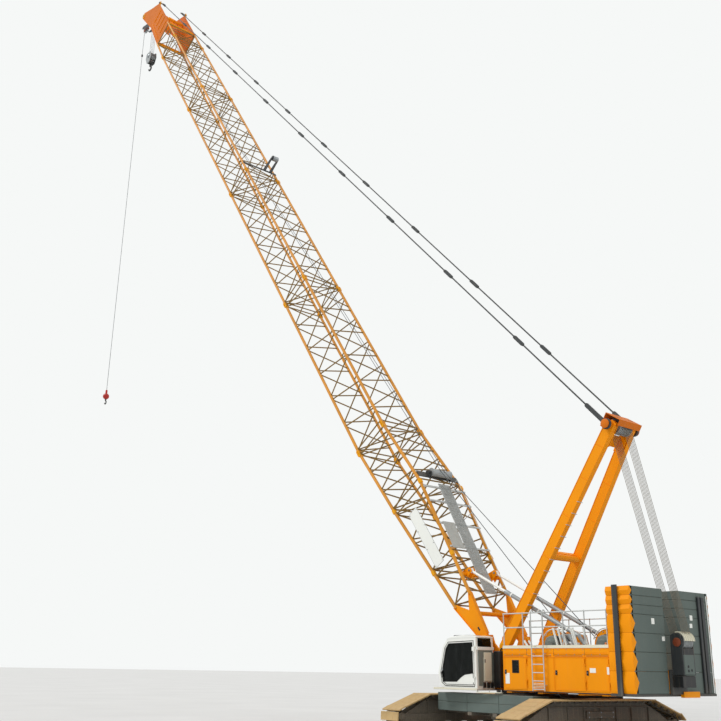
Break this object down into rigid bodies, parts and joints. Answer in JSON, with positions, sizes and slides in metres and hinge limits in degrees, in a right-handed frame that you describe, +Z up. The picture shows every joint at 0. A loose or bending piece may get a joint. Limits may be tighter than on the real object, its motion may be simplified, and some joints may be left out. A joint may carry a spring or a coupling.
{
  "type": "crawler crane with a lattice boom, 1:2 scale model",
  "caption": "Lattice-boom crawler crane at half size: slewing upper with cab, counterweight, mast, pendants and raised boom, on two tracks, with a hook block and a hook ball.",
  "frame": {"origin": "on the ground, below the middle of the slewing ring", "axes": "+X the way the boom points, +Y the machine's left side, +Z up"},
  "size_m": [24.6425, 4.7582, 28.2141],
  "materials": {
    "orange_paint": "satin",
    "white_paint": "satin",
    "slab_paint": "matte",
    "rail_paint": "satin",
    "dark_paint": "satin",
    "track_steel": "worn and dusty",
    "bright_steel": "satin",
    "rope_steel": "matte",
    "red_paint": "satin",
    "cab_window": "clear",
    "seat_cloth": "matte"
  },
  "bodies": {
    "undercarriage": {"carbody": "dark_paint", "track_frames": "dark_paint", "track_near": "track_steel", "track_far": "track_steel", "track_wheels": "dark_paint", "car_ballast": "slab_paint"},
    "upper": {"main_frame": "orange_paint", "slew_ring": "dark_paint", "house_left": "orange_paint", "house_right": "orange_paint", "engine": "dark_paint", "deck": "rail_paint", "handrails": "rail_paint", "ladder": "rail_paint", "winch_beds": "white_paint", "counterweight_tray": "dark_paint", "counterweight_left": "slab_paint", "counterweight_right": "slab_paint", "luffing_block": "bright_steel", "cab_shell": "white_paint", "cab_glass": "cab_window", "cab_seat": "seat_cloth"},
    "front_drum": {"hoist_drum_front": "orange_paint"},
    "rear_drum": {"hoist_drum_rear": "orange_paint"},
    "cab_door": {"cab_door": "white_paint"},
    "boom": {"boom_foot": "orange_paint", "boom_insert_1": "orange_paint", "boom_insert_2": "orange_paint", "boom_insert_3": "orange_paint", "boom_insert_top": "orange_paint", "boom_head": "orange_paint", "boom_walkway": "rail_paint", "boom_rope_roller": "dark_paint", "boom_sign": "white_paint", "whip_arm": "orange_paint"},
    "head_sheaves": {"head_sheaves": "bright_steel"},
    "mast": {"mast": "orange_paint"},
    "mast_sheaves": {"mast_sheaves": "bright_steel"},
    "pendants": {"pendants": "rope_steel"},
    "stop_tubes": {"backstop_tubes": "white_paint"},
    "stop_rods": {"backstop_rods": "bright_steel"},
    "hook_block": {"hook_block": "dark_paint"},
    "whip_ball": {"whip_ball": "red_paint"},
    "door_left_front": {"door_left_front": "orange_paint"},
    "door_left_middle": {"door_left_middle": "orange_paint"},
    "door_left_rear": {"door_left_rear": "orange_paint"},
    "door_right_front": {"door_right_front": "orange_paint"},
    "door_right_middle": {"door_right_middle": "orange_paint"},
    "door_right_rear": {"door_right_rear": "orange_paint"}
  },
  "joints": [
    {"name": "slew", "type": "hinge", "parent": "undercarriage", "child": "upper", "pos_m": [0, 0, 0.68], "axis": [0, 0, 1], "continuous": true},
    {"name": "boom_luff", "type": "hinge", "parent": "upper", "child": "boom", "pos_m": [0.51, 0, 1.668], "axis": [0, -1, 0], "range_deg": [-23, 29]},
    {"name": "mast_luff", "type": "hinge", "parent": "upper", "child": "mast", "pos_m": [0.05, 0, 1.525], "axis": [0, -1, 0], "range_deg": [-24.2, 30.5]},
    {"name": "pendant_swing", "type": "hinge", "parent": "mast", "child": "pendants", "pos_m": [-2.575, 0, 5.6], "axis": [0, -1, 0], "range_deg": [-1.9, 1.5]},
    {"name": "backstop_swing", "type": "hinge", "parent": "upper", "child": "stop_tubes", "pos_m": [-1.685, 0, 1.685], "axis": [0, -1, 0], "range_deg": [-8.4, 10.6]},
    {"name": "backstop_slide", "type": "slide", "parent": "stop_tubes", "child": "stop_rods", "axis": [0.8933, 0, 0.4494], "range_m": [-0.52, 0.412]},
    {"name": "hook_level", "type": "hinge", "parent": "boom", "child": "hook_block", "pos_m": [19.72464, 0, 27.88894], "axis": [0, -1, 0], "range_deg": [-29, 23]},
    {"name": "whip_level", "type": "hinge", "parent": "boom", "child": "whip_ball", "pos_m": [20.71593, 0, 28.04937], "axis": [0, -1, 0], "range_deg": [-29, 23]},
    {"name": "head_sheaves_spin", "type": "hinge", "parent": "boom", "child": "head_sheaves", "pos_m": [19.72464, 0, 27.88894], "axis": [0, 1, 0], "continuous": true},
    {"name": "mast_sheaves_spin", "type": "hinge", "parent": "mast", "child": "mast_sheaves", "pos_m": [-2.575, 0, 5.6], "axis": [0, 1, 0], "continuous": true},
    {"name": "front_drum_spin", "type": "hinge", "parent": "upper", "child": "front_drum", "pos_m": [-0.95, 0, 1.56], "axis": [0, 1, 0], "continuous": true},
    {"name": "rear_drum_spin", "type": "hinge", "parent": "upper", "child": "rear_drum", "pos_m": [-2.15, 0, 1.56], "axis": [0, 1, 0], "continuous": true},
    {"name": "cab_door_hinge", "type": "hinge", "parent": "upper", "child": "cab_door", "pos_m": [0.292, 1.213, 1.2], "axis": [0, 0, 1], "range_deg": [0, 100]},
    {"name": "door_left_front_hinge", "type": "hinge", "parent": "upper", "child": "door_left_front", "pos_m": [-1.016, 1.213, 1.07], "axis": [0, 0, 1], "range_deg": [0, 110]},
    {"name": "door_left_middle_hinge", "type": "hinge", "parent": "upper", "child": "door_left_middle", "pos_m": [-2.326, 1.213, 1.07], "axis": [0, 0, 1], "range_deg": [0, 110]},
    {"name": "door_left_rear_hinge", "type": "hinge", "parent": "upper", "child": "door_left_rear", "pos_m": [-2.829, 1.213, 1.07], "axis": [0, 0, 1], "range_deg": [0, 110]},
    {"name": "door_right_front_hinge", "type": "hinge", "parent": "upper", "child": "door_right_front", "pos_m": [-1.016, -1.213, 1.07], "axis": [0, 0, -1], "range_deg": [0, 110]},
    {"name": "door_right_middle_hinge", "type": "hinge", "parent": "upper", "child": "door_right_middle", "pos_m": [-2.326, -1.213, 1.07], "axis": [0, 0, -1], "range_deg": [0, 110]},
    {"name": "door_right_rear_hinge", "type": "hinge", "parent": "upper", "child": "door_right_rear", "pos_m": [-2.829, -1.213, 1.07], "axis": [0, 0, -1], "range_deg": [0, 110]}
  ],
  "couplings": [
    {"joint": "mast_luff", "follows": "boom_luff", "ratio": 1.05},
    {"joint": "pendant_swing", "follows": "boom_luff", "ratio": -0.064},
    {"joint": "backstop_swing", "follows": "boom_luff", "ratio": 0.365},
    {"joint": "backstop_slide", "follows": "boom_luff", "m_per_rad": -1.02},
    {"joint": "hook_level", "follows": "boom_luff", "ratio": -1},
    {"joint": "whip_level", "follows": "boom_luff", "ratio": -1}
  ]
}
